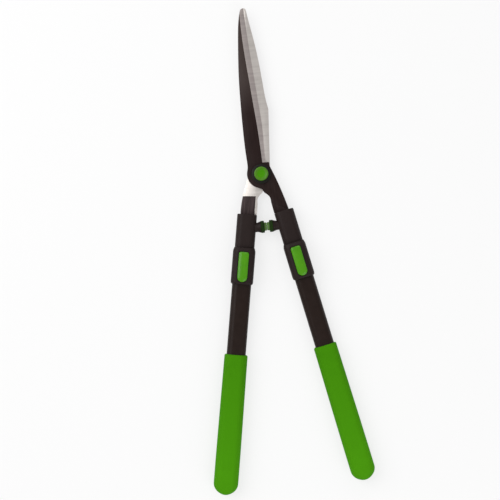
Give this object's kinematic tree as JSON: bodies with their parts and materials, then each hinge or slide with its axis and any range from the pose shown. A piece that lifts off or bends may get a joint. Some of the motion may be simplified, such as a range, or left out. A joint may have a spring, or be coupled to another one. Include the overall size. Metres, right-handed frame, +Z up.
{
  "type": "hedge shears",
  "caption": "Hand hedge shears with long straight blades and telescopic oval handles, each held by a rocking lock lever, with soft round-ended grips.",
  "frame": {"origin": "on the pivot's axis, in the plane of the surface that the shears lie on", "axes": "+Y from the pivot to the blade tips, +Z up out of the front face, +X towards the right handle"},
  "size_m": [0.2426, 0.7224, 0.032],
  "materials": {
    "coated_steel": "satin black coating, bare ground bevel and inner face",
    "bright_steel": "bright zinc",
    "raw_aluminium": "drawn, satin anodised",
    "black_tube": "satin black powder coat",
    "black_plastic": "fine moulded texture",
    "green_plastic": "smooth moulded, semi-gloss",
    "green_rubber": "soft, satin",
    "green_grip": "soft matte skin",
    "black_rubber": "soft matte"
  },
  "bodies": {
    "left_half": {"back_blade": "coated_steel", "pivot_bush": "bright_steel", "pivot_bolt": "bright_steel", "front_washer": "coated_steel", "back_washer": "bright_steel", "pivot_nut": "bright_steel", "front_pivot_cap": "green_plastic", "back_pivot_cap": "black_plastic", "left_housing": "black_plastic", "left_bumper": "green_rubber", "left_inner_tube": "raw_aluminium", "left_tang_insert": "black_plastic", "left_upper_tang_screw": "bright_steel", "left_lower_tang_screw": "bright_steel", "left_guide_plug": "black_plastic"},
    "right_half": {"front_blade": "coated_steel", "right_housing": "black_plastic", "right_bumper": "green_rubber", "right_inner_tube": "raw_aluminium", "right_tang_insert": "black_plastic", "right_upper_tang_screw": "bright_steel", "right_lower_tang_screw": "bright_steel", "right_guide_plug": "black_plastic"},
    "left_telescope": {"left_outer_tube": "black_tube", "left_end_plug": "black_plastic", "left_collar": "black_plastic", "left_collar_screw": "bright_steel", "left_lever_pin": "bright_steel", "left_lever_spring": "bright_steel", "left_grip": "green_grip"},
    "left_lock": {"left_lock_lever": "green_plastic", "left_brake_pad": "black_rubber"},
    "right_telescope": {"right_outer_tube": "black_tube", "right_end_plug": "black_plastic", "right_collar": "black_plastic", "right_collar_screw": "bright_steel", "right_lever_pin": "bright_steel", "right_lever_spring": "bright_steel", "right_grip": "green_grip"},
    "right_lock": {"right_lock_lever": "green_plastic", "right_brake_pad": "black_rubber"}
  },
  "joints": [
    {"name": "blade_pivot", "type": "hinge", "parent": "left_half", "child": "right_half", "pos_m": [0, 0, 0.013], "axis": [0, 0, 1], "range_deg": [0, 75]},
    {"name": "left_handle_slide", "type": "slide", "parent": "left_half", "child": "left_telescope", "axis": [-0.1869, -0.9824, 0], "range_m": [0, 0.2]},
    {"name": "left_lever_press", "type": "hinge", "parent": "left_telescope", "child": "left_lock", "pos_m": [-0.04069, -0.12771, 0.0263], "axis": [0.9824, -0.1869, 0], "range_deg": [0, 6], "stiffness_Nm_per_rad": 0.8, "springref_deg": -5.73, "deforming": ["left_lever_spring"]},
    {"name": "right_handle_slide", "type": "slide", "parent": "right_half", "child": "right_telescope", "axis": [0.1869, -0.9824, 0], "range_m": [0, 0.2]},
    {"name": "right_lever_press", "type": "hinge", "parent": "right_telescope", "child": "right_lock", "pos_m": [0.04069, -0.12771, 0.0263], "axis": [0.9824, 0.1869, 0], "range_deg": [0, 6], "stiffness_Nm_per_rad": 0.8, "springref_deg": -5.73, "deforming": ["right_lever_spring"]}
  ]
}
